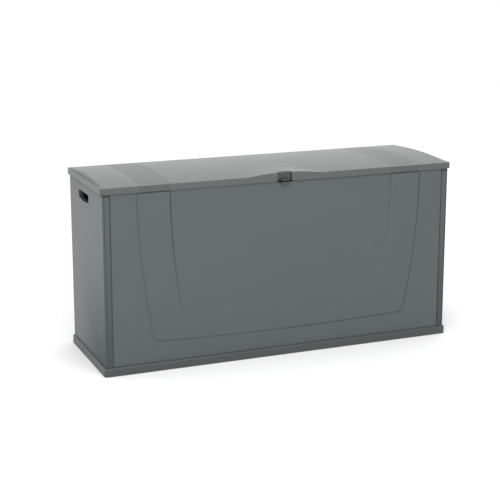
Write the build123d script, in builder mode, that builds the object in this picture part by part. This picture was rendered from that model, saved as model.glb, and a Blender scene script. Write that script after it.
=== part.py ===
from build123d import *
import os

# Deck storage box: a resin tray, four wall panels and a hinged lid with a lock tab.
# X runs along the front, Y towards the back, Z up. The origin is at the middle of the
# footprint, on the ground. All lengths are in millimetres.

os.makedirs("parts", exist_ok=True)

# ---- driving sizes: the box ----
box_width = 1200.0
box_depth = 390.0
rim_bottom = 572.0
rim_height = 20.0
crown_rise = 10.0
overhang = 6.0
front_reach = 11.0

# ---- driving sizes: mouldings ----
wall = 3.5
lid_wall = 3.0
rib = 3.0
rib_depth = 8.0
seam = 1.0
slide_gap = 0.3

# ---- driving sizes: tray ----
plinth_height = 27.0
plinth_corner = 10.0
plinth_round = 5.0
skirt = 4.0
deck = 4.0
tray_channel = 26.0
channel_floor = 12.0
tongue_depth = 11.0
tray_ribs_across = 9
tray_ribs_along = 3

# ---- driving sizes: corner posts and wall panels ----
post_width = 23.0
post_round = 4.0
post_grip = 17.0
panel_seat = 0.5
panel_draft = 1.5
panel_ribs = 6
band_inner = 381.0
band_outer = 485.0
band_gap = 3.0
band_foot = 97.0
band_sag = 9.0
band_radius = 2150.0
band_proud = 3.0
band_merge = 170.0
band_corner = 14.0

# ---- driving sizes: hand holes ----
hand_width = 111.0
hand_height = 24.0
hand_bow = 5.0
hand_drop = 30.5
hand_offset = 22.0
hand_flange = 15.0
hand_flange_wall = 2.5

# ---- driving sizes: lid ----
lid_corner = 8.0
lid_edge_round = 2.0
dome_inset = 5.0
lid_band_depth = 1.0
lid_ribs_across = 9
lid_ribs_along = 2
lid_rib_swing = 12.0
bump_width = 250.0
bump_rise = 9.5
bump_end = 20.0

# ---- driving sizes: lock ----
notch_width = 48.0
notch_height = 31.0
notch_depth = 12.0
notch_round = 5.0
notch_wall = 2.5
tab_width = 43.0
tab_thick = 5.0
tab_pivot_drop = 5.0
tab_pivot_inset = 8.0
tab_lift = 4.0
tab_lip = 3.5
lock_pin_radius = 1.5
running_gap = 0.05
lock_hole_radius = 3.5
lock_gap = 4.5
staple_thick = 5.5
staple_width = 30.0
staple_plate = 2.5
staple_plate_width = 44.0
staple_plate_height = 32.0
staple_screw_spacing = 26.0

# ---- driving sizes: hinges ----
hinge_names = ("left", "middle", "right")
hinge_spacing = 440.0
hinge_width = 64.0
hinge_drop = 8.0
knuckle_radius = 5.3
hinge_pin_radius = 2.2
knuckle_gap = 0.4
leaf_thick = 2.5
wall_leaf_height = 46.0
lid_leaf_height = 17.0
stop_angle = 100.5
stop_thick = 3.0
screw_radius = 2.0
screw_head_radius = 3.6
screw_head = 1.4
screw_length = 5.0

# ---- sizes that follow ----
half_width = box_width / 2
half_depth = box_depth / 2
rim_top = rim_bottom + rim_height
crown = rim_top + crown_rise
body_x = half_width - overhang
band_top = rim_bottom - band_gap
hand_top = rim_bottom - hand_drop
tab_end = rim_bottom + tab_lift
body_y = half_depth - overhang
panel_bottom = plinth_height - tongue_depth
panel_top = rim_top - lid_wall - panel_seat
panel_height = panel_top - panel_bottom
post_edge = body_x - post_width
panel_half = post_edge - seam
slot_outer = body_y - wall - slide_gap
tongue_thick = wall
slot_inner = slot_outer - tongue_thick
above_tray = plinth_height + seam
dome_x = half_width - dome_inset
dome_y = half_depth - lid_edge_round
pivot_y = -half_depth + tab_pivot_inset
pivot_z = rim_bottom + notch_height - tab_pivot_drop
tab_top = pivot_z + tab_pivot_inset / 2 - seam
lock_hole_y = -half_depth - front_reach + 2 * lock_hole_radius
staple_top = tab_end - lock_gap
staple_floor = staple_top - staple_thick
staple_plate_top = staple_top - seam
staple_plate_y = -body_y + wall + slide_gap
staple_screw_z = (staple_floor + staple_plate_top - staple_plate_height) / 2
axis_y = body_y + knuckle_gap + knuckle_radius
axis_z = rim_bottom - hinge_drop
hinge_places = [hinge_spacing * step for step in (-1, 0, 1)]
wall_screw_x = (-hinge_width / 3, hinge_width / 3)
wall_screw_z = (axis_z - wall_leaf_height + 2 * screw_head_radius, axis_z - wall_leaf_height / 2)
lid_screw_x = (-hinge_width / 3, 0, hinge_width / 3)
lid_screw_z = rim_bottom + seam + lid_leaf_height / 2


def band_lean(height):
    """How far a band's edge has swung inwards at a height, below its top."""
    return (band_top - height) ** 2 / (2 * band_radius)


# ---- tray: a skirted deck with a channel for the panels' lower edges ----
with BuildPart() as base_tray:
    with BuildSketch(Plane.XY):
        RectangleRounded(box_width, box_depth, plinth_corner)
    extrude(amount=plinth_height)
    fillet(base_tray.edges().group_by(Axis.Z)[-1], plinth_round)
    with BuildSketch(Plane.XY):
        RectangleRounded(box_width - 2 * skirt, box_depth - 2 * skirt, plinth_corner - skirt)
    extrude(amount=channel_floor, mode=Mode.SUBTRACT)
    with BuildSketch(Plane.XY.offset(channel_floor)):
        Rectangle(box_width - 2 * tray_channel, box_depth - 2 * tray_channel)
    extrude(amount=plinth_height - deck - channel_floor, mode=Mode.SUBTRACT)
    with BuildSketch(Plane.XY.offset(panel_bottom - slide_gap)):
        Rectangle(2 * (body_x + slide_gap), 2 * (body_y + slide_gap))
        Rectangle(
            2 * (body_x - wall - panel_draft - slide_gap),
            2 * (body_y - wall - panel_draft - slide_gap),
            mode=Mode.SUBTRACT,
        )
    extrude(amount=plinth_height, mode=Mode.SUBTRACT)
    with BuildSketch(Plane.XY):
        with GridLocations((box_width - 2 * skirt) / (tray_ribs_across + 1), 0, tray_ribs_across, 1):
            Rectangle(rib, box_depth - 2 * skirt)
        with GridLocations(0, (box_depth - 2 * skirt) / (tray_ribs_along + 1), 1, tray_ribs_along):
            Rectangle(box_width - 2 * skirt, rib)
    extrude(amount=channel_floor)
    with BuildSketch(Plane.XY.offset(channel_floor)):
        with GridLocations((box_width - 2 * skirt) / (tray_ribs_across + 1), 0, tray_ribs_across, 1):
            Rectangle(rib, box_depth - 2 * tray_channel)
    extrude(amount=plinth_height - deck - channel_floor)

base_tray.part.label = "base_tray"
export_step(base_tray.part, "parts/base_tray.step")


# ---- front panel: a drafted skin with side tongues, inner ribs and the raised bands ----
front_face = Plane(
    origin=(0, -body_y, panel_top), x_dir=(1, 0, 0), z_dir=(0, -panel_height, -panel_draft)
)
pocket_face = Plane(
    origin=(0, -body_y + panel_draft * (panel_top - band_top) / panel_height, band_top),
    x_dir=(1, 0, 0),
    z_dir=(0, panel_draft - panel_height, band_proud),
)
band_drop = panel_top - band_top
band_reach = panel_top - band_foot
merge_reach = band_top - band_merge

with BuildPart() as front_panel:
    with BuildSketch(front_face):
        with Locations((0, -panel_height / 2)):
            Rectangle(2 * panel_half, panel_height)
    extrude(amount=-wall)
    # the tongues that slide down behind the posts
    for side in (-1, 1):
        with BuildSketch(Plane.XY.offset(above_tray)):
            with Locations((side * (panel_half - post_grip / 2), -slot_outer + tongue_thick / 2)):
                Rectangle(3 * post_grip, tongue_thick)
        extrude(amount=panel_top - above_tray)
    # the raised bands and the field between them
    with BuildSketch(front_face) as outline:
        with BuildLine():
            Line((0, -band_reach), (0, -band_drop))
            Line((0, -band_drop), (band_outer, -band_drop))
            TangentArc(
                (band_outer, -band_drop),
                (band_outer - band_lean(band_foot), -band_reach),
                tangent=(0, -1),
            )
            TangentArc(
                (0, -band_reach - band_sag),
                (band_outer - band_lean(band_foot), -band_reach),
                tangent=(1, 0),
            )
            Line((0, -band_reach - band_sag), (0, -band_reach))
        make_face()
        mirror(about=Plane.YZ)
        foot_corners = outline.vertices().filter_by(
            lambda corner: abs(abs(corner.X) - band_outer + band_lean(band_foot)) < seam
        )
        fillet(foot_corners, band_corner)
    extrude(amount=band_proud)
    # the middle falls back to the panel's own face towards the top
    with BuildSketch(pocket_face):
        with BuildLine():
            Line((0, 0), (band_inner, 0))
            TangentArc((band_inner, 0), (band_inner - band_lean(band_merge), -merge_reach), tangent=(0, -1))
            Line((band_inner - band_lean(band_merge), -merge_reach), (0, -merge_reach))
            Line((0, -merge_reach), (0, 0))
        make_face()
        mirror(about=Plane.YZ)
    extrude(amount=band_proud + wall, mode=Mode.SUBTRACT)
    # upright ribs and a top flange on the inside
    with BuildSketch(Plane.XY.offset(above_tray)):
        with GridLocations(2 * panel_half / (panel_ribs + 1), 0, panel_ribs, 1):
            with Locations((0, -slot_outer + rib_depth / 2)):
                Rectangle(rib, rib_depth)
    extrude(amount=panel_top - above_tray)
    with BuildSketch(Plane.XY.offset(panel_top - rib)):
        with Locations((0, -slot_outer + rib_depth / 2)):
            Rectangle(2 * (panel_half - post_grip), rib_depth)
    extrude(amount=rib)
    # the top edge steps down for the lid's pocket and the staple's lug
    with BuildSketch(Plane.XZ.offset(body_y + wall)):
        for cut_width, cut_floor in (
            (notch_width + 4 * notch_wall, band_top),
            (staple_width + 2 * slide_gap, staple_floor - slide_gap),
        ):
            with Locations((0, cut_floor)):
                Rectangle(cut_width, panel_top, align=(Align.CENTER, Align.MIN))
    extrude(amount=-(3 * wall + rib_depth), mode=Mode.SUBTRACT)
    # pilot holes for the staple's screws
    with BuildSketch(Plane.XZ.offset(body_y - seam)):
        with Locations((0, staple_screw_z)):
            with GridLocations(staple_screw_spacing, 0, 2, 1):
                Circle(screw_radius)
    extrude(amount=-2 * wall, mode=Mode.SUBTRACT)

front_panel.part.label = "front_panel"
export_step(front_panel.part, "parts/front_panel.step")


# ---- back panel: a plain skin with the same tongues and ribs ----
with BuildPart() as back_panel:
    with BuildSketch(Plane.XY.offset(panel_bottom)):
        with Locations((0, body_y - wall / 2)):
            Rectangle(2 * panel_half, wall)
    extrude(amount=panel_height)
    with BuildSketch(Plane.XY.offset(above_tray)):
        for side in (-1, 1):
            with Locations((side * (panel_half - post_grip / 2), slot_outer - tongue_thick / 2)):
                Rectangle(3 * post_grip, tongue_thick)
        with GridLocations(2 * panel_half / (panel_ribs + 1), 0, panel_ribs, 1):
            with Locations((0, slot_outer - rib_depth / 2)):
                Rectangle(rib, rib_depth)
    extrude(amount=panel_top - above_tray)
    with BuildSketch(Plane.XY.offset(panel_top - rib)):
        with Locations((0, slot_outer - rib_depth / 2)):
            Rectangle(2 * (panel_half - post_grip), rib_depth)
    extrude(amount=rib)
    # the two layers meet in one thickness
    with BuildSketch(Plane.XY.offset(above_tray)):
        for side in (-1, 1):
            with Locations((side * (panel_half - post_grip), body_y - wall)):
                Rectangle(2 * post_grip, wall)
    extrude(amount=panel_top - above_tray)
    # pilot holes for the hinges' screws
    with BuildSketch(Plane.XZ.offset(-body_y)):
        for place in hinge_places:
            for across in wall_screw_x:
                with Locations(*((place + across, height) for height in wall_screw_z)):
                    Circle(screw_radius)
    extrude(amount=2 * wall, both=True, mode=Mode.SUBTRACT)

back_panel.part.label = "back_panel"
export_step(back_panel.part, "parts/back_panel.step")


# ---- side panels: a skin that wraps the corners as posts, with a flanged hand hole ----
lip_y = slot_inner - slide_gap - wall / 2

with BuildPart() as left_side_panel:
    with BuildSketch(Plane.XY.offset(panel_bottom)) as plan:
        with Locations((-body_x + wall / 2, 0)):
            Rectangle(wall, 2 * body_y)
        for side in (-1, 1):
            with Locations((-body_x + post_width / 2, side * (body_y - wall / 2))):
                Rectangle(post_width, wall)
        corners = plan.vertices().filter_by(
            lambda corner: corner.X < seam - body_x and abs(corner.Y) > body_y - seam
        )
        fillet(corners, post_round)
    extrude(amount=panel_height)
    # the inner lips that hold the front and back panels' tongues
    with BuildSketch(Plane.XY.offset(above_tray)):
        for side in (-1, 1):
            with Locations((-body_x + (post_grip + wall) / 2, side * lip_y)):
                Rectangle(post_grip + wall, wall)
        with GridLocations(0, 2 * body_y / (panel_ribs - 2), 1, panel_ribs - 3):
            with Locations((-body_x + wall + rib_depth / 2, 0)):
                Rectangle(rib_depth + wall, rib)
    extrude(amount=panel_top - above_tray)
    with BuildSketch(Plane.XY.offset(panel_top - rib)):
        with Locations((-body_x + wall + rib_depth / 2, 0)):
            Rectangle(rib_depth, 2 * (lip_y - wall))
    extrude(amount=rib)
    # the hand hole: straight on top, bowed below, with a flange turned in around it
    for margin, reach, way in ((hand_flange_wall, hand_flange, Mode.ADD), (0, 2 * hand_flange, Mode.SUBTRACT)):
        hand_half = hand_width / 2 + margin
        with BuildSketch(Plane.YZ.offset(-body_x)):
            with BuildLine():
                Polyline(
                    (hand_offset - hand_half, hand_top - hand_height - margin),
                    (hand_offset - hand_half, hand_top + margin),
                    (hand_offset + hand_half, hand_top + margin),
                    (hand_offset + hand_half, hand_top - hand_height - margin),
                )
                ThreePointArc(
                    (hand_offset + hand_half, hand_top - hand_height - margin),
                    (hand_offset, hand_top - hand_height - hand_bow - margin),
                    (hand_offset - hand_half, hand_top - hand_height - margin),
                )
            make_face()
        extrude(amount=reach, mode=way)

left_side_panel.part.label = "left_side_panel"
export_step(left_side_panel.part, "parts/left_side_panel.step")

with BuildPart() as right_side_panel:
    mirror(left_side_panel.part, about=Plane.YZ)

right_side_panel.part.label = "right_side_panel"
export_step(right_side_panel.part, "parts/right_side_panel.step")


# ---- lid: a rimmed shell with a shallow dome, two bands, a raised lock hood and ribs ----
def arch_face(half_span, foot, top, sink):
    """A face bounded by an arch and a flat base below the arch's feet."""
    with BuildSketch(mode=Mode.PRIVATE) as arch:
        with BuildLine():
            ThreePointArc((-half_span, foot), (0, top), (half_span, foot))
            Polyline((half_span, foot), (half_span, sink), (-half_span, sink), (-half_span, foot))
        make_face()
    return arch.sketch


with BuildPart() as lid_form:
    with BuildSketch(Plane.XY.offset(rim_bottom)):
        RectangleRounded(box_width, box_depth, lid_corner)
    extrude(amount=rim_height)
    fillet(lid_form.edges().group_by(Axis.Z)[-1], lid_edge_round)
    with BuildSketch(Plane.YZ):
        add(arch_face(dome_y, rim_top, crown, rim_bottom + lid_wall))
    extrude(amount=dome_x, both=True)
    # the two bands are let into the dome
    for side in (-1, 1):
        with BuildSketch(Plane.YZ.offset(side * (band_inner + band_outer) / 2)):
            add(arch_face(half_depth, rim_top + crown_rise, crown + crown_rise, rim_top + crown_rise / 2))
            add(arch_face(dome_y, rim_top, crown - lid_band_depth, rim_bottom), mode=Mode.SUBTRACT)
        extrude(amount=(band_outer - band_inner) / 2, both=True, mode=Mode.SUBTRACT)
    # the raised hood over the lock runs back into the dome
    with BuildSketch(Plane.XZ.offset(half_depth)):
        add(arch_face(bump_width / 2, rim_top - lid_edge_round, rim_top + bump_rise, rim_bottom + lid_wall))
    extrude(amount=-(half_depth - bump_end))

rib_reach_x = body_x - wall - rib_depth - 2 * seam - wall
rib_reach_y = slot_outer - rib_depth - lid_rib_swing
rib_foot = rim_top - lid_wall - rib_depth

# ribs under the shell, inside the panels' top flanges
with BuildPart() as lid_ribs:
    with BuildSketch(Plane.XY.offset(rib_foot)):
        with GridLocations(2 * rib_reach_x / (lid_ribs_across - 1), 0, lid_ribs_across, 1):
            Rectangle(rib, 2 * rib_reach_y)
        with GridLocations(0, 2 * rib_reach_y / (lid_ribs_along + 1), 1, lid_ribs_along):
            Rectangle(2 * rib_reach_x, rib)
    extrude(amount=crown - rib_foot)
    add(lid_form.part, mode=Mode.INTERSECT)

with BuildPart() as lid:
    add(lid_form.part)
    # the hollow underneath
    with BuildSketch(Plane.XY.offset(rim_bottom)):
        RectangleRounded(box_width - 2 * lid_wall, box_depth - 2 * lid_wall, lid_corner - lid_wall)
    extrude(amount=rim_height - lid_wall, mode=Mode.SUBTRACT)
    with BuildSketch(Plane.YZ):
        add(arch_face(dome_y - lid_wall, rim_top - lid_wall, crown - lid_wall - lid_band_depth, rim_bottom))
    extrude(amount=dome_x - lid_wall, both=True, mode=Mode.SUBTRACT)
    add(lid_ribs.part)
    # the pocket behind the lock notch, then the notch itself, open at the hood's top
    with BuildSketch(Plane.XY.offset(rim_bottom)):
        with Locations((0, -half_depth + (notch_depth + notch_wall) / 2)):
            Rectangle(notch_width + 2 * notch_wall, notch_depth + notch_wall)
    extrude(amount=rim_height + bump_rise - lid_wall / 2)
    with BuildSketch(Plane.XZ.offset(half_depth)) as notch:
        with Locations((0, rim_bottom)):
            Rectangle(notch_width, 2 * notch_height)
        fillet(notch.vertices(), notch_round)
    extrude(amount=-notch_depth, mode=Mode.SUBTRACT)
    # the lock tab's pin runs through both cheeks of the pocket
    with BuildSketch(Plane.YZ):
        with Locations((pivot_y, pivot_z)):
            Circle(lock_pin_radius)
    extrude(amount=notch_width / 2 + 2 * notch_wall, both=True, mode=Mode.SUBTRACT)
    # pilot holes for the hinges' screws
    with BuildSketch(Plane.XZ.offset(-half_depth)):
        for place in hinge_places:
            with Locations(*((place + across, lid_screw_z) for across in lid_screw_x)):
                Circle(screw_radius)
    extrude(amount=2 * lid_wall, both=True, mode=Mode.SUBTRACT)

lid.part.label = "lid"
export_step(lid.part, "parts/lid.step")


# ---- lock: a swinging tab in the lid, its pin, and a staple through the front panel ----
with BuildPart() as lock_tab:
    with BuildSketch(Plane.XY.offset(tab_end)):
        with Locations((0, pivot_y)):
            Rectangle(tab_width, tab_thick)
    extrude(amount=tab_top - tab_end)
    fillet(lock_tab.edges().filter_by(Axis.X).group_by(Axis.Z)[-1], tab_thick / 2 - running_gap)
    with BuildSketch(Plane.XY.offset(tab_end)) as lip:
        with Locations((0, (pivot_y - half_depth - front_reach) / 2)):
            Rectangle(staple_width, half_depth + front_reach + pivot_y)
        fillet(lip.vertices().group_by(Axis.Y)[0], 2 * lock_hole_radius)
    extrude(amount=tab_lip)
    with BuildSketch(Plane.XY.offset(tab_end)):
        with Locations((0, lock_hole_y)):
            Circle(lock_hole_radius)
    extrude(amount=tab_lip, mode=Mode.SUBTRACT)
    with BuildSketch(Plane.YZ):
        with Locations((pivot_y, pivot_z)):
            Circle(lock_pin_radius + running_gap)
    extrude(amount=tab_width, both=True, mode=Mode.SUBTRACT)

lock_tab.part.label = "lock_tab"
export_step(lock_tab.part, "parts/lock_tab.step")

with BuildPart() as lock_tab_pin:
    with BuildSketch(Plane.YZ):
        with Locations((pivot_y, pivot_z)):
            Circle(lock_pin_radius)
    extrude(amount=notch_width / 2 + notch_wall, both=True)

lock_tab_pin.part.label = "lock_tab_pin"
export_step(lock_tab_pin.part, "parts/lock_tab_pin.step")

with BuildPart() as lock_staple:
    with BuildSketch(Plane.XZ.offset(-staple_plate_y)):
        with Locations((0, staple_plate_top - staple_plate_height / 2)):
            RectangleRounded(staple_plate_width, staple_plate_height, notch_round)
    extrude(amount=-staple_plate)
    with BuildSketch(Plane.XY.offset(staple_floor)) as lug:
        with Locations((0, (staple_plate_y - half_depth - front_reach) / 2)):
            Rectangle(staple_width, half_depth + front_reach + staple_plate_y)
        fillet(lug.vertices().group_by(Axis.Y)[0], 2 * lock_hole_radius)
    extrude(amount=staple_thick)
    with BuildSketch(Plane.XY.offset(staple_floor)):
        with Locations((0, lock_hole_y)):
            Circle(lock_hole_radius)
    extrude(amount=staple_thick, mode=Mode.SUBTRACT)
    with BuildSketch(Plane.XZ.offset(-staple_plate_y)):
        with Locations((0, staple_screw_z)):
            with GridLocations(staple_screw_spacing, 0, 2, 1):
                Circle(screw_radius)
    extrude(amount=-staple_plate, mode=Mode.SUBTRACT)

lock_staple.part.label = "lock_staple"
export_step(lock_staple.part, "parts/lock_staple.step")


# ---- hinges: a wall leaf, a lid leaf and a pin, three times along the back ----
third = hinge_width / 3
knuckle_half = third / 2 - slide_gap
outer_face = Plane(origin=(0, body_y + leaf_thick, 0), x_dir=(1, 0, 0), z_dir=(0, -1, 0))

for name, place in zip(hinge_names, hinge_places):
    with BuildPart() as wall_leaf:
        with BuildSketch(outer_face) as plate:
            with Locations((place, axis_z - wall_leaf_height)):
                Rectangle(hinge_width, wall_leaf_height, align=(Align.CENTER, Align.MIN))
            with Locations((place, axis_z)):
                Rectangle(third, 2 * (knuckle_radius + knuckle_gap), mode=Mode.SUBTRACT)
            fillet(plate.vertices().group_by(Axis.Y)[0], screw_head_radius)
            for across in wall_screw_x:
                with Locations(*((place + across, height) for height in wall_screw_z)):
                    Circle(screw_radius, mode=Mode.SUBTRACT)
        extrude(amount=leaf_thick)
        for side in (-1, 1):
            with BuildSketch(Plane.YZ.offset(place + side * third)):
                with Locations((axis_y, axis_z)):
                    Circle(knuckle_radius)
                with Locations((body_y, axis_z)):
                    Rectangle(knuckle_radius, knuckle_radius, align=(Align.MIN, Align.MAX))
                with Locations((axis_y, axis_z)):
                    Circle(hinge_pin_radius, mode=Mode.SUBTRACT)
            extrude(amount=third / 2, both=True)
    wall_leaf.part.label = f"hinge_{name}_wall_leaf"
    export_step(wall_leaf.part, f"parts/hinge_{name}_wall_leaf.step")

    with BuildPart() as lid_leaf:
        with BuildSketch(Plane.XZ.offset(-half_depth)) as plate:
            with Locations((place, rim_bottom + seam)):
                Rectangle(hinge_width, lid_leaf_height, align=(Align.CENTER, Align.MIN))
            fillet(plate.vertices().group_by(Axis.Y)[-1], screw_head_radius)
            with Locations((place, axis_z)):
                Rectangle(2 * knuckle_half, 2 * hinge_drop, align=(Align.CENTER, Align.MIN))
            with Locations(*((place + across, lid_screw_z) for across in lid_screw_x)):
                Circle(screw_radius, mode=Mode.SUBTRACT)
        extrude(amount=-leaf_thick)
        # a heel that comes down on the wall leaf when the lid is right back
        with Locations(Location((place, axis_y, axis_z), (stop_angle, 0, 0))):
            with Locations((0, body_y + leaf_thick - axis_y, 0)):
                Box(
                    2 * knuckle_half,
                    stop_thick,
                    front_reach - slide_gap,
                    align=(Align.CENTER, Align.MIN, Align.MAX),
                )
        with BuildSketch(Plane.YZ.offset(place)):
            with Locations((axis_y, axis_z)):
                Circle(knuckle_radius)
        extrude(amount=knuckle_half, both=True)
        with BuildSketch(Plane.YZ.offset(place)):
            with Locations((axis_y, axis_z)):
                Circle(hinge_pin_radius + running_gap)
        extrude(amount=third, both=True, mode=Mode.SUBTRACT)
    lid_leaf.part.label = f"hinge_{name}_lid_leaf"
    export_step(lid_leaf.part, f"parts/hinge_{name}_lid_leaf.step")

    with BuildPart() as pin:
        with BuildSketch(Plane.YZ.offset(place)):
            with Locations((axis_y, axis_z)):
                Circle(hinge_pin_radius)
        extrude(amount=hinge_width / 2 + screw_head, both=True)
        for side in (-1, 1):
            with BuildSketch(Plane.YZ.offset(place + side * (hinge_width + screw_head) / 2)):
                with Locations((axis_y, axis_z)):
                    Circle(screw_head_radius)
            extrude(amount=screw_head / 2, both=True)
    pin.part.label = f"hinge_{name}_pin"
    export_step(pin.part, f"parts/hinge_{name}_pin.step")


# ---- screws: pan heads, each group a set of separate solids ----
def screw_group(name, seat_y, way, places):
    """Screws along Y with their heads seated at seat_y, pointing the way given."""
    with BuildPart() as group:
        for radius, start, end in (
            (screw_head_radius, 0, screw_head),
            (screw_radius, -screw_length, 0),
        ):
            with BuildSketch(Plane.XZ.offset(-seat_y - way * (start + end) / 2)):
                with Locations(*places):
                    Circle(radius)
            extrude(amount=(end - start) / 2, both=True)
    group.part.label = name
    export_step(group.part, f"parts/{name}.step")


screw_group(
    "hinge_wall_screws",
    body_y + leaf_thick,
    1,
    [(place + x, z) for place in hinge_places for x in wall_screw_x for z in wall_screw_z],
)
screw_group(
    "hinge_lid_screws",
    half_depth + leaf_thick,
    1,
    [(place + x, lid_screw_z) for place in hinge_places for x in lid_screw_x],
)
screw_group(
    "staple_screws",
    staple_plate_y + staple_plate,
    1,
    [(side * staple_screw_spacing / 2, staple_screw_z) for side in (-1, 1)],
)
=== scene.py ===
import math

import bmesh
import bpy
import numpy as np
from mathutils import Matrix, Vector


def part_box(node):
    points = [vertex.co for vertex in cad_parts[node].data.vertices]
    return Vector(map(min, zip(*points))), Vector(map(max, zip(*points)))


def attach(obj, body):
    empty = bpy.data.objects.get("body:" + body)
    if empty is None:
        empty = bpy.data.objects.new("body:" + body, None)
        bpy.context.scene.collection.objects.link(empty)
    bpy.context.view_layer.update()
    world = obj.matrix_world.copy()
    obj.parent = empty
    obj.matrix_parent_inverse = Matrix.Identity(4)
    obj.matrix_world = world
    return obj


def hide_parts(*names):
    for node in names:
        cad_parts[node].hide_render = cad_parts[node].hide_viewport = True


bl_info = {
    "name": "Deck storage box",
    "version": (1, 0, 0),
    "blender": (4, 5, 0),
    "location": "3D View > Sidebar > Deck Box",
    "description": "Builds the visible pieces of a hinged resin deck box around its fixed frame",
    "category": "Object",
}

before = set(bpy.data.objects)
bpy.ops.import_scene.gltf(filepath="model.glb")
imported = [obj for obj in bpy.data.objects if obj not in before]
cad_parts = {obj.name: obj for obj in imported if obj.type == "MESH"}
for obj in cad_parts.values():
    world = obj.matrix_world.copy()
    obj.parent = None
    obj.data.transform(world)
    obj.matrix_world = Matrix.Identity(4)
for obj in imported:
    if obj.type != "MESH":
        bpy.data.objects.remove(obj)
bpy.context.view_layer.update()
MM = 0.001


# ---- sizes and colours a user would change ----

def length(name, description, millimetres):
    """A property in metres, given in millimetres."""
    return bpy.props.FloatProperty(
        name=name, description=description, default=millimetres * MM, unit="LENGTH", precision=4
    )


def colour(name, description, value):
    return bpy.props.FloatVectorProperty(
        name=name, description=description, default=value, subtype="COLOR", size=3, min=0, max=1
    )


class DeckBoxSizes(bpy.types.PropertyGroup):
    """Sizes of the box, in metres"""

    crown_rise: length("Crown rise", "How far the lid's dome rises over its rim", 10)
    rim_height: length("Rim height", "Height of the lid's upright rim", 20)
    lid_wall: length("Lid wall", "Thickness of the lid's shell", 3)
    lid_corner: length("Lid corner", "Radius of the lid's corners seen from above", 8)
    edge_round: length("Edge rounding", "Radius along the lid's upper edge", 2)
    dome_inset: length("Dome inset", "Flat ledge left at each end of the dome", 4)
    dome_end: length("Dome end", "Distance over which the dome's ends rise", 11)
    band_inner: length("Band inner edge", "Distance of the bands' inner edges from the middle", 381)
    band_outer: length("Band outer edge", "Distance of the bands' outer edges from the middle", 485)
    lid_band_depth: length("Lid band depth", "How deep the bands are let into the lid", 1)
    hood_width: length("Hood width", "Width of the raised hood over the lock", 250)
    hood_rise: length("Hood rise", "Rise of the hood over the rim", 9.3)
    panel_wall: length("Panel wall", "Thickness of the wall panels", 3.5)
    panel_draft: length("Panel draft", "How far the front leans in towards its foot", 1.5)
    seam: length("Seam", "Gap between the front panel and the corner posts", 1)
    post_width: length("Post width", "Width of the corner posts seen from the front", 23)
    band_proud: length("Band relief", "How far the front bands stand proud", 3)
    band_radius: length("Band sweep", "Radius on which the bands swing inwards", 2150)
    band_foot: length("Band foot", "Height of the bands' lower corners", 97)
    band_sag: length("Band sag", "Sag of the line that joins the bands' feet", 9)
    band_merge: length("Band merge", "Height at which the inner edges have run out", 170)


class DeckBoxColours(bpy.types.PropertyGroup):
    """Colours of the mouldings and fittings"""

    wall_grey: colour("Walls", "Colour of the wall panels", (0.067, 0.078, 0.078))
    lid_grey: colour("Lid", "Colour of the lid", (0.075, 0.079, 0.079))
    tray_grey: colour("Tray", "Colour of the base tray", (0.053, 0.055, 0.056))
    lock_grey: colour("Lock", "Colour of the lock tab and staple", (0.044, 0.045, 0.046))
    hinge_grey: colour("Hinges", "Colour of the hinge leaves", (0.036, 0.038, 0.040))
    steel: colour("Steel", "Colour of the pins and screws", (0.55, 0.55, 0.56))


def own_properties(group):
    """The names of the properties that a group declares itself."""
    return [key for key in group.bl_rna.properties.keys() if key not in ("rna_type", "name")]


def sizes():
    """The current sizes as plain numbers in metres."""
    group = bpy.context.scene.deck_box_sizes
    return {key: getattr(group, key) for key in own_properties(group)}


# ---- places read from the fixed frame ----

LID_LOW, LID_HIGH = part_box("lid")
SIDE_LOW, SIDE_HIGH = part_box("left_side_panel")
HALF_X = LID_HIGH.x
HALF_Y = LID_HIGH.y
RIM_BOTTOM = LID_LOW.z
BODY_X = -SIDE_LOW.x
BODY_Y = SIDE_HIGH.y
PANEL_TOP = SIDE_HIGH.z
PANEL_FOOT = SIDE_LOW.z
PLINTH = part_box("base_tray")[1].z
TAB_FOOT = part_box("lock_tab")[0].z


# ---- measures that several pieces share ----

BAND_TOP = RIM_BOTTOM - 3 * MM
LOCK_GAP_HALF = 29 * MM
FLANGE = 3 * MM
RIB = 3 * MM
POST_CORNER = 4 * MM
FLUTES = 3
FLUTE_DEPTH = 0.45 * MM


# ---- shader arithmetic ----

class Num:
    """A shader socket that can be used in ordinary arithmetic."""

    def __init__(self, shader, socket):
        self.shader = shader
        self.socket = socket

    def __add__(self, other):
        return self.shader.math("ADD", self, other)

    def __radd__(self, other):
        return self.shader.math("ADD", other, self)

    def __sub__(self, other):
        return self.shader.math("SUBTRACT", self, other)

    def __rsub__(self, other):
        return self.shader.math("SUBTRACT", other, self)

    def __mul__(self, other):
        return self.shader.math("MULTIPLY", self, other)

    def __rmul__(self, other):
        return self.shader.math("MULTIPLY", other, self)

    def __abs__(self):
        return self.shader.math("ABSOLUTE", self)

    def above(self, edge, width):
        """0 below edge, 1 above edge + width, with a smooth change between."""
        return self.shader.ramp(self, edge, edge + width)


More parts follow.
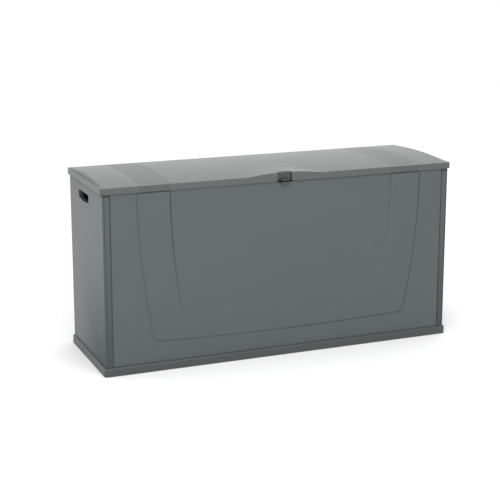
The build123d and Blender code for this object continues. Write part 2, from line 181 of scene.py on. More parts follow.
class Shader:
    """Builds the nodes of one material, or of the studio's sky."""

    def __init__(self, owner, output="ShaderNodeOutputMaterial"):
        self.owner = owner
        owner.use_nodes = True
        self.tree = owner.node_tree
        self.tree.nodes.clear()
        self.output = self.tree.nodes.new(output)

    def node(self, kind, settings=None, **inputs):
        """Adds a node: its settings first, then values or links for its sockets by name."""
        made = self.tree.nodes.new(kind)
        for key, value in (settings or {}).items():
            setattr(made, key, value)
        for key, value in inputs.items():
            self.feed(self.socket(made, key), value)
        return made

    def socket(self, made, key):
        """A node's first enabled input of a name, given with underscores for spaces."""
        wanted = key.replace("_", " ").lower()
        return next(s for s in made.inputs if s.enabled and s.name.lower() == wanted)

    def feed(self, socket, value):
        if isinstance(value, Num):
            self.tree.links.new(value.socket, socket)
        elif isinstance(value, bpy.types.NodeSocket):
            self.tree.links.new(value, socket)
        else:
            socket.default_value = value

    def math(self, operation, *values):
        made = self.tree.nodes.new("ShaderNodeMath")
        made.operation = operation
        for socket, value in zip(made.inputs, values):
            self.feed(socket, value)
        return Num(self, made.outputs[0])

    def ramp(self, value, low, high):
        smooth = {"interpolation_type": "SMOOTHSTEP"}
        made = self.node("ShaderNodeMapRange", smooth, Value=value, From_Min=low, From_Max=high)
        return Num(self, made.outputs[0])

    def mix(self, factor, first, second):
        """A colour between two colours."""
        made = self.tree.nodes.new("ShaderNodeMix")
        made.data_type = "RGBA"
        made.clamp_factor = True
        colours = [s for s in made.inputs if s.type == "RGBA"]
        self.feed(made.inputs[0], factor)
        self.feed(colours[0], first if not isinstance(first, tuple) else (*first, 1))
        self.feed(colours[1], second if not isinstance(second, tuple) else (*second, 1))
        return [s for s in made.outputs if s.type == "RGBA"][0]

    def place(self):
        """Object coordinates, in metres, as a socket."""
        return self.node("ShaderNodeTexCoord").outputs["Object"]

    def axes(self):
        """The three object coordinates as numbers."""
        split = self.node("ShaderNodeSeparateXYZ", Vector=self.place())
        return [Num(self, s) for s in split.outputs]

    def noise(self, scale, detail=2.0, stretch=None):
        vector = self.place()
        if stretch:
            vector = self.node("ShaderNodeMapping", Vector=vector, Scale=stretch).outputs[0]
        made = self.node("ShaderNodeTexNoise", Vector=vector, Scale=scale, Detail=detail)
        return Num(self, made.outputs[0])

    def cells(self, scale):
        soft = {"feature": "SMOOTH_F1"}
        made = self.node("ShaderNodeTexVoronoi", soft, Vector=self.place(), Scale=scale)
        return Num(self, made.outputs["Distance"])

    def marked(self, layer):
        """How strongly a point of a piece is marked in a layer of its mesh."""
        made = self.node("ShaderNodeAttribute", {"attribute_name": layer})
        return Num(self, made.outputs["Fac"])

    def bump(self, height, strength, depth):
        made = self.node("ShaderNodeBump", Height=height, Strength=strength, Distance=depth)
        return made.outputs[0]

    def surface(self, **inputs):
        return self.node("ShaderNodeBsdfPrincipled", **inputs).outputs[0]

    def finish(self, film=None, **inputs):
        """Sends a surface to the output, under a film given as its cover and its own surface."""
        surface = self.surface(**inputs)
        if film:
            mixed = self.node("ShaderNodeMixShader")
            self.feed(mixed.inputs[0], film[0])
            self.tree.links.new(surface, mixed.inputs[1])
            self.tree.links.new(film[1], mixed.inputs[2])
            surface = mixed.outputs[0]
        self.tree.links.new(surface, self.output.inputs[0])
        return self.owner


def scaled(rgb, factor):
    return tuple(min(1.0, channel * factor) for channel in rgb)


def moulded_resin(name, rgb, gloss=0.42, grain=1.0, smooth_bands=False, shade_film=0.0):
    """Injection moulded polypropylene: fine spark grain, faint flow marks, paler edges and painted
    highlights, and painted shade.

    The last argument sets how strongly a dull film of painted shade covers the part's foot, most of all at
    its front.
    """
    s = Shader(bpy.data.materials.new(name))
    flow = s.noise(2.2, detail=3, stretch=(0.5, 1.0, 1.6))
    cloud = s.noise(9.0, detail=2)
    speck = s.noise(1500.0, detail=1)
    spark = s.cells(850.0)
    tone = s.mix(flow * 0.6 + cloud * 0.4, scaled(rgb, 0.93), scaled(rgb, 1.07))
    # Paler tone from a layer of painted highlights and pale edges.
    tone = s.mix(s.marked("wear") * (0.35 + 0.5 * cloud), tone, scaled(rgb, 1.45))
    # Darker tone from a layer of painted shade: step feet, seams, flutes and the line under the lid's rim.
    tone = s.mix(s.marked("crease") * (0.8 + 0.4 * cloud), tone, scaled(rgb, 0.25))
    roughness = gloss + 0.07 * (flow - 0.5) + 0.05 * (cloud - 0.5) + 0.04 * (speck - 0.5)
    if smooth_bands:
        side = abs(s.axes()[0])
        band = side.above(370 * MM, 18 * MM) - side.above(472 * MM, 12 * MM)
        tone = s.mix(band, tone, scaled(rgb, 0.92))
        roughness = roughness + 0.04 * band
    relief = s.bump(spark * 0.6 + speck * 0.4, 0.16 * grain, 0.00022)
    film = None
    # Painted shade: a darker, duller film towards the part's foot and front, with rougher, less glossy resin.
    if shade_film:
        _, y, z = s.axes()
        low = 1 - z.above(0.0, 0.5)
        forward = 1 - 0.8 * y.above(-0.2, 0.36)
        shaded_tone = (*scaled(rgb, 0.9), 1)
        dull = s.surface(Base_Color=shaded_tone, Roughness=0.9, Specular_IOR_Level=0.05, Normal=relief)
        film = (shade_film * low * forward * (0.8 + 0.4 * cloud), dull)
    return s.finish(film, Base_Color=tone, Roughness=roughness, IOR=1.5, Normal=relief)


def zinc_steel(name, rgb):
    """Zinc plated steel with fine turning marks and dull patches."""
    s = Shader(bpy.data.materials.new(name))
    patch = s.noise(140.0, detail=3)
    turned = s.noise(2600.0, detail=1, stretch=(0.05, 1.0, 1.0))
    tone = s.mix(patch, scaled(rgb, 0.72), scaled(rgb, 1.1))
    return s.finish(
        Base_Color=tone,
        Metallic=1.0,
        Roughness=0.28 + 0.22 * patch,
        Normal=s.bump(turned, 0.2, 0.00005),
    )


def pale_floor(name):
    """A matt studio floor with the faintest mottling."""
    s = Shader(bpy.data.materials.new(name))
    tone = s.mix(s.noise(3.0, detail=2), (0.86, 0.86, 0.86), (0.88, 0.88, 0.88))
    return s.finish(Base_Color=tone, Roughness=0.9, Specular_IOR_Level=0.1)


def material(key):
    """One of the box's materials, made the first time it is asked for."""
    name = "deck_box_" + key
    if name in bpy.data.materials:
        return bpy.data.materials[name]
    c = bpy.context.scene.deck_box_colours
    makers = {
        "walls": lambda: moulded_resin(name, tuple(c.wall_grey), gloss=0.40),
        # The end panels carry a film of painted shade towards their foot and front.
        "ends": lambda: moulded_resin(name, tuple(c.wall_grey), gloss=0.40, shade_film=0.75),
        "lid": lambda: moulded_resin(name, tuple(c.lid_grey), gloss=0.36, smooth_bands=True),
        "tray": lambda: moulded_resin(name, tuple(c.tray_grey), gloss=0.46, grain=1.4),
        "lock": lambda: moulded_resin(name, tuple(c.lock_grey), gloss=0.38, grain=0.6),
        "hinges": lambda: moulded_resin(name, tuple(c.hinge_grey), gloss=0.42, grain=0.8),
        "steel": lambda: zinc_steel(name, tuple(c.steel)),
        "floor": lambda: pale_floor(name),
    }
    return makers[key]()


# ---- mesh helpers ----

def smooth_step(value):
    value = np.clip(value, 0, 1)
    return value * value * (3 - 2 * value)


def bell(distance, width):
    """1 at no distance, falling smoothly to almost nothing at twice the width."""
    return np.exp(-((distance / width) ** 2))


def arc(centre_x, centre_y, radius, start, end, steps):
    """Points along a circle's arc, from one angle to another."""
    turn = np.linspace(start, end, steps)
    return [(centre_x + radius * math.cos(a), centre_y + radius * math.sin(a)) for a in turn]


def spread(*stops):
    """Sorted places along a line, from (start, end, step) stretches."""
    places = [np.arange(start, end + step / 2, step) for start, end, step in stops]
    merged = np.unique(np.round(np.concatenate(places), 5))
    keep = np.concatenate([[True], np.diff(merged) > 1e-4])
    return merged[keep]


def both_sides(places):
    """The same places on both sides of zero."""
    return np.unique(np.concatenate([-places, places]))


def new_object(name, data):
    """An object in the scene for a mesh, a light or a camera."""
    made = bpy.data.objects.new(name, data)
    bpy.context.scene.collection.objects.link(made)
    return made


def mirrored(outline):
    """Half an outline with the mirror image that closes it."""
    return outline + [(-across, up) for across, up in reversed(outline)]


def new_piece(name, points, faces, key, **marks):
    """A mesh object at the origin from points in metres, with named layers of marks."""
    mesh = bpy.data.meshes.new(name)
    mesh.from_pydata([tuple(p) for p in points], [], [tuple(f) for f in faces])
    mesh.validate()
    for mark, values in marks.items():
        layer = mesh.attributes.new(mark, "FLOAT", "POINT")
        layer.data.foreach_set("value", np.asarray(values, np.float32))
    return dress(new_object(name, mesh), key)


def dress(made, key, smooth_angle=32):
    """Gives an object its one material and its smooth and sharp edges."""
    made.data.materials.clear()
    made.data.materials.append(material(key))
    made.data.shade_smooth()
    made.data.set_sharp_from_angle(angle=math.radians(smooth_angle))
    return made


def settle(made, body, slot, *nodes):
    """Evens a finished piece's shading and rides it on its body in place of its CAD nodes."""
    even = made.modifiers.new("even shading", "WEIGHTED_NORMAL")
    even.keep_sharp = True
    flatten(made)
    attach(made, body)
    if nodes:
        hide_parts(*nodes)
    return made


def flatten(made):
    """Turns an object's modifiers into a plain mesh."""
    graph = bpy.context.evaluated_depsgraph_get()
    mesh = bpy.data.meshes.new_from_object(made.evaluated_get(graph))
    made.modifiers.clear()
    made.data = mesh
    return made


def carve(made, tool, operation="DIFFERENCE"):
    """One Boolean step with a tool object, which is then removed."""
    step = made.modifiers.new("carve", "BOOLEAN")
    step.operation = operation
    step.solver = "EXACT"
    step.object = tool
    flatten(made)
    bpy.data.objects.remove(tool)
    return made


def soften(made, width):
    """Rounds the sharp edges of a piece and evens its shading."""
    bevel = made.modifiers.new("edge rounding", "BEVEL")
    bevel.width = width
    bevel.segments = 2
    bevel.limit_method = "ANGLE"
    bevel.angle_limit = math.radians(30)
    bevel.use_clamp_overlap = True
    flatten(made)
    made.data.shade_smooth()
    made.data.set_sharp_from_angle(angle=math.radians(50))
    return made


def block(name, low, high, key="walls"):
    """A closed box between two corners, to carve with or to build up from."""
    corners = [(x, y, z) for z in (low[2], high[2]) for y in (low[1], high[1]) for x in (low[0], high[0])]
    faces = [(0, 2, 3, 1), (4, 5, 7, 6), (0, 1, 5, 4), (2, 6, 7, 3), (0, 4, 6, 2), (1, 3, 7, 5)]
    return new_piece(name, corners, faces, key)


def prism(name, outlines, key="walls"):
    """A closed solid through a stack of matching outlines, each a list of 3-D points."""
    count = len(outlines[0])
    points = [p for outline in outlines for p in outline]
    faces = []
    for level in range(len(outlines) - 1):
        base = level * count
        for i in range(count):
            j = (i + 1) % count
            faces.append((base + i, base + j, base + count + j, base + count + i))
    faces.append(tuple(reversed(range(count))))
    faces.append(tuple(range((len(outlines) - 1) * count, len(outlines) * count)))
    made = new_piece(name, points, faces, key)
    outward(made)
    return made


def mark(made, layer, strength):
    """Marks each point of a mesh by a function of its coordinates."""
    mesh = made.data
    places = np.empty(3 * len(mesh.vertices), np.float32)
    mesh.vertices.foreach_get("co", places)
    x, y, z = places.reshape(-1, 3).T
    values = np.asarray(strength(x, y, z), np.float32)
    mesh.attributes.new(layer, "FLOAT", "POINT").data.foreach_set("value", values)


def outward(made):
    """Points every face of a closed mesh outwards."""
    work = bmesh.new()
    work.from_mesh(made.data)
    bmesh.ops.recalc_face_normals(work, faces=work.faces)
    work.to_mesh(made.data)
    work.free()


def join(name, parts):
    """Several objects as one mesh object, with the first one's material."""
    work = bmesh.new()
    for part in parts:
        work.from_mesh(part.data)
    mesh = bpy.data.meshes.new(name)
    work.to_mesh(mesh)
    work.free()
    mesh.materials.append(parts[0].data.materials[0])
    for part in parts:
        bpy.data.objects.remove(part)
    return new_object(name, mesh)


def cad_copy(node, name, key, rounding):
    """A merged copy of a CAD node's mesh with its edges rounded."""
    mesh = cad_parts[node].data.copy()
    work = bmesh.new()
    work.from_mesh(mesh)
    bmesh.ops.remove_doubles(work, verts=work.verts, dist=1e-6)
    bmesh.ops.dissolve_limit(
        work, angle_limit=math.radians(1.0), use_dissolve_boundaries=False, verts=work.verts, edges=work.edges
    )
    work.to_mesh(mesh)
    work.free()
    made = dress(new_object(name, mesh), key)
    soften(made, rounding)
    return dress(made, key, 40)


def closed_shell(outer, inner, rims):
    """Points and faces of a shell: an outer grid, edge loops around it, and an inner grid.

    outer and inner are (rows, columns, 3) arrays; rims is a list of functions that give the
    next loop's points from the outer grid's edge points. With no inner grid, one flat face
    closes the last loop."""
    rows, columns = outer.shape[:2]
    index = np.arange(rows * columns).reshape(rows, columns)
    edge = np.concatenate([index[0, :-1], index[:-1, -1], index[-1, :0:-1], index[:0:-1, 0]])
    quads = np.stack([index[:-1, :-1], index[:-1, 1:], index[1:, 1:], index[1:, :-1]], -1).reshape(-1, 4)
    points = [outer.reshape(-1, 3)]
    faces = [quads]
    last = edge
    total = rows * columns
    edge_points = outer.reshape(-1, 3)[edge]
    around = len(edge)
    for rim in rims:
        points.append(rim(edge_points))
        here = np.arange(total, total + around)
        total += around
        faces.append(np.stack([last, here, np.roll(here, -1), np.roll(last, -1)], -1))
        last = here
    if inner is None:
        return np.concatenate(points), [f.tolist() for f in np.concatenate(faces)] + [last[::-1].tolist()]
    points.append(inner.reshape(-1, 3))
    inner_edge = edge + total
    faces.append(np.stack([last, inner_edge, np.roll(inner_edge, -1), np.roll(last, -1)], -1))
    faces.append(quads[:, ::-1] + total)
    return np.concatenate(points), [f.tolist() for f in np.concatenate(faces)]


def repeat_along(name, unit, places, body_key):
    """Geometry Nodes: copies of one small mesh at the given places, as a plain mesh."""
    cloud = bpy.data.meshes.new(name)
    cloud.from_pydata([tuple(p) for p in places], [], [])
    made = new_object(name, cloud)
    tree = bpy.data.node_groups.new(name, "GeometryNodeTree")
    tree.interface.new_socket("Geometry", in_out="INPUT", socket_type="NodeSocketGeometry")
    unit_input = tree.interface.new_socket("Unit", in_out="INPUT", socket_type="NodeSocketObject")
    size_input = tree.interface.new_socket("Size", in_out="INPUT", socket_type="NodeSocketFloat")
    tree.interface.new_socket("Geometry", in_out="OUTPUT", socket_type="NodeSocketGeometry")
    nodes, links = tree.nodes, tree.links
    start = nodes.new("NodeGroupInput")
    shape = nodes.new("GeometryNodeObjectInfo")
    copies = nodes.new("GeometryNodeInstanceOnPoints")
    real = nodes.new("GeometryNodeRealizeInstances")
    coat = nodes.new("GeometryNodeSetMaterial")
    end = nodes.new("NodeGroupOutput")
    coat.inputs["Material"].default_value = material(body_key)
    links.new(start.outputs["Geometry"], copies.inputs["Points"])
    links.new(start.outputs["Unit"], shape.inputs["Object"])
    links.new(shape.outputs["Geometry"], copies.inputs["Instance"])
    links.new(start.outputs["Size"], copies.inputs["Scale"])
    links.new(copies.outputs[0], real.inputs[0])
    links.new(real.outputs[0], coat.inputs[0])
    links.new(coat.outputs[0], end.inputs[0])
    modifier = made.modifiers.new("repeat", "NODES")
    modifier.node_group = tree
    modifier[unit_input.identifier] = unit
    modifier[size_input.identifier] = 1.0
    flatten(made)
    bpy.data.objects.remove(unit)
    return dress(made, body_key)


# ---- lid ----

def inside_corner(x, y, half_x, half_y, radius):
    """Moves grid points near a rectangle's corners onto a rounded corner."""
    a = np.clip((np.abs(x) - (half_x - radius)) / radius, 0, 1)
    b = np.clip((np.abs(y) - (half_y - radius)) / radius, 0, 1)
    both = (a > 0) & (b > 0)
    round_x = half_x - radius + radius * a * np.sqrt(1 - b * b / 2)
    round_y = half_y - radius + radius * b * np.sqrt(1 - a * a / 2)
    return np.where(both, np.sign(x) * round_x, x), np.where(both, np.sign(y) * round_y, y)


def edge_distance(x, y, half_x, half_y, radius):
    """How far a point lies inside a rounded rectangle."""
    a = np.abs(x) - (half_x - radius)
    b = np.abs(y) - (half_y - radius)
    corner = (a > 0) & (b > 0)
    return np.where(corner, radius - np.hypot(a, b), radius - np.maximum(a, b))


def soft_top(first, second, width):
    """The higher of two surfaces, blended over a width where they cross."""
    mixing = np.clip(0.5 + 0.5 * (first - second) / width, 0, 1)
    return second + (first - second) * mixing + width * mixing * (1 - mixing) / 2


def lid_height(x, y, s):
    """Height of the lid's outer face, before its edge is rounded, and the painted highlight along the hood's
    ridge.
    """
    rim_top = RIM_BOTTOM + s["rim_height"]
    half_dome = HALF_Y - s["edge_round"]
    arch = np.clip(1 - (y / half_dome) ** 2, 0, 1)
    ends = np.clip((HALF_X - s["dome_inset"] - np.abs(x)) / s["dome_end"], 0, 1)
    dome = s["crown_rise"] * arch * np.sqrt(1 - (1 - ends) ** 2)
    side = np.abs(x)
    soft = 7 * MM
    band = smooth_step((side - s["band_inner"] + soft) / soft / 2)
    band = band * (1 - smooth_step((side - s["band_outer"] + soft) / soft / 2))
    fade = smooth_step((HALF_Y - np.abs(y) - 2 * MM) / (8 * MM))
    dome = dome - s["lid_band_depth"] * band * fade * smooth_step(arch * 6)
    half_hood = s["hood_width"] / 2
    hood = s["hood_rise"] * (1 - (x / half_hood) ** 2)
    hood = np.where(y < 0, hood, -s["hood_rise"])
    hood = np.maximum(hood, -s["hood_rise"])
    top = soft_top(dome, hood, 2.2 * MM)
    over_hood = (np.abs(x) < half_hood) & (y < 0)
    ridge = 0.9 * MM * bell(dome - hood, 0.8 * MM) * over_hood
    # Painted highlight along the hood's ridge.
    painted_highlight = 0.35 * bell(dome - hood, 1.2 * MM) * over_hood
    return rim_top + np.minimum(top + ridge, s["crown_rise"]), painted_highlight


def lid_grid(s):
    """Grid over the lid, closer at its edges, at the bands' edges and over the hood."""
    ends = HALF_X / MM - spread((0, 2, 0.4), (2, 16, 1), (16, 30, 3.5))
    inner, outer = round(s["band_inner"] / MM), round(s["band_outer"] / MM)
    hood_end = round(s["hood_width"] / 2 / MM) + 7
    plain_end = 570
    columns = spread(
        (0, hood_end, 3),
        (hood_end, inner - 15, 13),
        (inner - 15, inner + 11, 1.5),
        (inner + 11, outer - 15, 11),
        (outer - 15, outer + 12, 1.5),
        (outer + 12, plain_end, 10),
    )
    columns = both_sides(np.unique(np.concatenate([columns, ends[ends > plain_end]]))) * MM
    near_edge = spread((0, 2, 0.4), (2, 12, 1.4), (12, 30, 3))
    rows_front = -HALF_Y / MM + near_edge
    rows = np.unique(np.concatenate([rows_front, spread((-165, -9, 3), (-9, 165, 6)), -rows_front])) * MM
    return np.meshgrid(columns, rows)


class DECKBOX_OT_lid(bpy.types.Operator):
    """Build the domed lid, its rim, its lock pocket and the ribs underneath"""

    bl_idname = "deckbox.lid"
    bl_label = "Lid"

    def execute(self, context):
        s = sizes()
        grid_x, grid_y = lid_grid(s)
        radius, rounding = s["lid_corner"], s["edge_round"]
        x, y = inside_corner(grid_x, grid_y, HALF_X, HALF_Y, radius)
        top, painted_highlight = lid_height(x, y, s)
        inset = edge_distance(x, y, HALF_X, HALF_Y, radius)
        short = rounding - np.clip(inset, 0, rounding)
        drop = rounding - np.sqrt(np.maximum(rounding**2 - short**2, 0))
        outer = np.stack([x, y, top - drop], -1)
        wall = s["lid_wall"]
        shrink = np.array([(HALF_X - wall) / HALF_X, (HALF_Y - wall) / HALF_Y])
        rim_ceiling = RIM_BOTTOM + s["rim_height"] - wall
        under = np.where(inset < rounding, rim_ceiling, np.maximum(top - wall, rim_ceiling))
        inner = np.stack([x * shrink[0], y * shrink[1], under], -1)

        def loop(inward, height):
            def place(edge):
                points = edge.copy()
                points[:, 0] *= (HALF_X - inward) / HALF_X
                points[:, 1] *= (HALF_Y - inward) / HALF_Y
                points[:, 2] = height
                return points
            return place

        lip = wall / 3
        rims = [
            loop(0, RIM_BOTTOM + lip),
            loop(0.3 * lip, RIM_BOTTOM + 0.3 * lip),
            loop(lip, RIM_BOTTOM),
            loop(wall - lip, RIM_BOTTOM),
            loop(wall - 0.3 * lip, RIM_BOTTOM + 0.3 * lip),
            loop(wall, RIM_BOTTOM + lip),
        ]
        points, faces = closed_shell(outer, inner, rims)
        # Paler paint on the outer face: the hood's painted highlight and the rounded top edge painted paler.
        wear = np.zeros(len(points))
        pale_edge = bell(inset - rounding * 0.3, 0.6 * MM)
        wear[: x.size] = np.maximum(painted_highlight, 0.3 * pale_edge).ravel()
        # Painted shade: a dark line just inside the rounded top edge and along the foot of the dome's ends.
        ledge = np.zeros(len(points))
        front_ledge = 0.5 * bell(inset - 1.9 * rounding, 0.6 * rounding)
        end_ledge = 0.6 * bell(HALF_X - np.abs(x) - s["dome_inset"] - 1.5 * MM, 2.2 * MM)
        ledge[: x.size] = np.maximum(front_ledge, end_ledge * (inset > rounding)).ravel()
        lid = new_piece("lid_shell", points, faces, "lid", wear=wear, crease=ledge)
        outward(lid)
        self.lock_pocket(lid, s)
        dress(lid, "lid")
        settle(lid, "lid", "lid_resin", "lid")
        self.ribs(s)
        return {"FINISHED"}

    def lock_pocket(self, lid, s):
        """The walled pocket in the front of the rim that the lock tab hangs in."""
        wall = 2.5 * MM
        half_notch = 24 * MM
        notch_top = RIM_BOTTOM + 31 * MM
        depth = 12 * MM
        hood_top = RIM_BOTTOM + s["rim_height"] + s["hood_rise"]
        pocket = block(
            "pocket",
            (-half_notch - wall, -HALF_Y + MM, RIM_BOTTOM + 0.2 * MM),
            (half_notch + wall, -HALF_Y + depth + wall, hood_top - 2 * MM),
        )
        carve(lid, pocket, "UNION")
        radius = 5 * MM
        corner = arc(half_notch - radius, notch_top - radius, radius, 0, math.pi / 2, 9)
        outline = mirrored([(half_notch, RIM_BOTTOM - 5 * MM)] + corner)
        layers = []
        for inward, widen in ((-2, 1), (0.05, 1), (1.1, 0), (depth / MM, 0)):
            grow = 1 + widen * MM / half_notch
            place_y = -HALF_Y + inward * MM
            layers.append([(px * grow, place_y, pz + widen * MM) for px, pz in outline])
        carve(lid, prism("notch", layers))

    def ribs(self, s):
        """Cross ribs under the dome, shaped to it, with two long ribs."""
        foot = RIM_BOTTOM + s["rim_height"] - s["lid_wall"] - 8 * MM
        reach_x, reach_y = 575 * MM, 165 * MM
        half = 1.5 * MM
        clear_x = 300 * MM

        def ceiling(y):
            """Heights just inside the shell, where neither hood nor band crosses it."""
            height, _ = lid_height(np.full_like(y, clear_x), y, s)
            return height - s["lid_wall"] * 0.6 - s["lid_band_depth"]

        run = np.linspace(-reach_y, reach_y, 41)
        outline = [*zip(run, ceiling(run)), (reach_y, foot), (-reach_y, foot)]
        unit = prism("rib_unit", [[(px, y, z) for y, z in outline] for px in (-half, half)], "lid")
        unit.hide_render = True
        places = [(x, 0, 0) for x in np.linspace(-reach_x, reach_x, 9)]
        cross = repeat_along("lid_cross_ribs", unit, places, "lid")
        long_ribs = []
        for y in (-reach_y / 3, reach_y / 3):
            top = ceiling(np.array([y]))[0]
            long_ribs.append(block("long", (-reach_x, y - half, foot), (reach_x, y + half, top), "lid"))
        ribs = join("lid_ribs", [cross, *long_ribs])
        dress(ribs, "lid")
        settle(ribs, "lid", "lid_resin")


# ---- wall panels ----

def band_lean(z, s):
    """How far a band's edge has swung inwards at a height."""
    return np.maximum(BAND_TOP - z, 0) ** 2 / (2 * s["band_radius"])


def front_relief(x, z, s):
    """How far the front stands proud of its plain face, and its painted highlights and painted shade.

    A step that faces +X gets a deep painted shadow at its foot, and one that faces -X only a faint one and a
    painted highlight on its edge.
    """
    side = np.abs(x)
    lean = band_lean(z, s)
    edge = 0.9 * MM
    from_side = s["band_outer"] - lean - side
    half_foot = s["band_outer"] - band_lean(s["band_foot"], s)
    foot = s["band_foot"] - s["band_sag"] * np.clip(1 - (side / half_foot) ** 2, 0, 1)
    from_foot = z - foot
    radius = 14 * MM
    a = np.maximum(radius - from_side, 0)
    b = np.maximum(radius - from_foot, 0)
    inside = np.where((a > 0) & (b > 0), radius - np.hypot(a, b), np.minimum(from_side, from_foot))
    inside = np.minimum(inside, BAND_TOP - z)
    raised = smooth_step(inside / edge)
    sunk = np.clip((z - s["band_merge"]) / (BAND_TOP - s["band_merge"]), 0, 1)
    from_inner = s["band_inner"] - lean - side
    middle = smooth_step(from_inner / edge)
    relief = s["band_proud"] * raised * (1 - sunk * middle)
    # Painted shade at the feet of the steps, deep where a step faces +X, faint where it faces -X.
    wide, narrow = 2.3 * MM, 1.0 * MM
    dark, faint = 1.0, 0.08
    beyond = 0.8 * MM
    right = x > 0
    on_panel = inside > 0
    beside = smooth_step(0.5 + (from_foot - from_side) / (2 * radius))
    outer_foot = bell(inside + beyond, np.where(right, wide, narrow))
    outer_depth = 0.45 * (1 - beside) + np.where(right, dark, faint) * beside
    inner_foot = bell(from_inner - edge - beyond, np.where(right, narrow, wide)) * on_panel
    inner_depth = np.where(right, faint, dark) * np.sqrt(sunk)
    crease = np.maximum(outer_depth * outer_foot, inner_depth * inner_foot) * (z < BAND_TOP - MM)
    # Painted shade in the seam beside the corner posts.
    seam = 0.8 * bell(side - (BODY_X - s["post_width"]), 1.6 * MM)
    # Painted highlight on the edges of steps that face -X.
    outer_brink = np.where(right, 0.2, 1.0) * bell(inside - edge / 2, 1.3 * MM)
    inner_brink = right * np.sqrt(sunk) * bell(from_inner - edge / 2, 1.3 * MM) * on_panel
    return relief, np.maximum(outer_brink, inner_brink), np.maximum(crease, seam)


def front_grid(half, s):
    """Grid over the front, closer at the bands' edges, whose lines follow the bands."""
    inner, outer = round(s["band_inner"] / MM), round(s["band_outer"] / MM)
    foot, top = round(s["band_foot"] / MM), round(BAND_TOP / MM)
    fine = 0.45
    columns = spread(
        (0, 300, 12),
        (300, inner - 7, 6),
        (inner - 7, inner + 6, fine),
        (inner + 6, outer - 59, 5),
        (outer - 59, outer - 7, 2.2),
        (outer - 7, outer + 6, fine),
        (outer + 6, 555, 6),
        (555, half / MM, 3),
    )
    columns[-1] = half / MM
    u = both_sides(columns) * MM
    rows = spread(
        (PANEL_FOOT / MM, 60, 6),
        (60, foot - 17, 1.5),
        (foot - 17, foot - 13, 0.8),
        (foot - 13, foot + 11, 0.7),
        (foot + 11, foot + 27, 1.6),
        (foot + 27, top - 9, 7),
        (top - 9, top + 2, 0.7),
        (top + 2, PANEL_TOP / MM, 5),
    )
    rows[-1] = PANEL_TOP / MM
    v = rows * MM
    grid_u, grid_v = np.meshgrid(u, v)
    side = np.abs(grid_u)
    grip = smooth_step((side / MM - 100) / 240) * (1 - smooth_step((side / MM - 500) / (half / MM - 500)))
    x = grid_u - np.sign(grid_u) * band_lean(grid_v, s) * grip
    half_foot = s["band_outer"] - band_lean(s["band_foot"], s)
    sag = s["band_sag"] * np.clip(1 - (x / half_foot) ** 2, 0, 1)
    level = grid_v / MM
    hold = smooth_step((level - 45) / 35) * (1 - smooth_step((level - 112) / 90))
    return x, grid_v - sag * hold


def panel_lining(name, face_y, inward, half, s):
    """The parts behind a panel's skin: side tongues, a top flange and upright ribs."""
    wall = s["panel_wall"]
    start = face_y + inward * (wall - 0.1 * MM)
    tongue_y = sorted((start, face_y + inward * (2 * wall + 0.3 * MM)))
    flange_y = sorted((start, face_y + inward * (wall + 8.2 * MM)))
    foot = PLINTH + MM
    parts = []
    for sign in (-1, 1):
        ends = sorted((sign * (half + 16 * MM), sign * (half - 32 * MM)))
        tongue_top = PANEL_TOP - 0.05 * MM
        parts.append(block("tongue", (ends[0], tongue_y[0], foot), (ends[1], tongue_y[1], tongue_top)))
    gap_half = LOCK_GAP_HALF if inward > 0 else 0
    reach = half - 17 * MM
    stretches = ((-reach, -gap_half), (gap_half, reach)) if gap_half else ((-reach, reach),)
    for low_x, high_x in stretches:
        low = (low_x, flange_y[0], PANEL_TOP - FLANGE)
        parts.append(block("flange", low, (high_x, flange_y[1], PANEL_TOP - 0.1 * MM)))
    count = 6
    spacing = 2 * half / (count + 1)
    rib = RIB / 2
    unit = block("upright", (-rib, flange_y[0], foot), (rib, flange_y[1], PANEL_TOP - 0.2 * MM))
    unit.hide_render = True
    places = [(spacing * (step - (count - 1) / 2), 0, 0) for step in range(count)]
    parts.append(repeat_along("uprights", unit, places, "walls"))
    lining = join(name, parts)
    return dress(lining, "walls")


class DECKBOX_OT_front(bpy.types.Operator):
    """Build the front panel with its raised bands and the lining behind it"""

    bl_idname = "deckbox.front"
    bl_label = "Front panel"

    def execute(self, context):
        s = sizes()
        half = BODY_X - s["post_width"] - s["seam"]
        x, z = front_grid(half, s)
        relief, painted_highlight, dark = front_relief(x, z, s)

        def face(height):
            return -BODY_Y + s["panel_draft"] * (PANEL_TOP - height) / (PANEL_TOP - PANEL_FOOT)

        def back_edge(edge):
            points = edge.copy()
            points[:, 1] = face(points[:, 2]) + s["panel_wall"]
            return points

        outer = np.stack([x, face(z) - relief, z], -1)
        points, faces = closed_shell(outer, None, [back_edge])
        # Layers of painted highlights and painted shade on the outer face.
        wear, crease = np.zeros(len(points)), np.zeros(len(points))
        wear[: x.size] = painted_highlight.ravel()
        crease[: x.size] = dark.ravel()
        panel = new_piece("front_panel_skin", points, faces, "walls", wear=wear, crease=crease)
        outward(panel)
        lug_half, lug_floor = 15.3 * MM, TAB_FOOT - 10.3 * MM
        outline = mirrored([
            (LOCK_GAP_HALF, PANEL_TOP + 5 * MM),
            (LOCK_GAP_HALF, BAND_TOP),
            (lug_half, BAND_TOP),
            (lug_half, lug_floor),
        ])
        layers = [[(px, y, pz) for px, pz in outline] for y in (-BODY_Y - 6 * MM, -BODY_Y + 9 * MM)]
        carve(panel, prism("lock_gap", layers))
        dress(panel, "walls", 28)
        settle(panel, "box", "body_resin", "front_panel")
        lining = panel_lining("front_panel_lining", -BODY_Y, 1, half, s)
        settle(lining, "box", "body_resin")
        return {"FINISHED"}


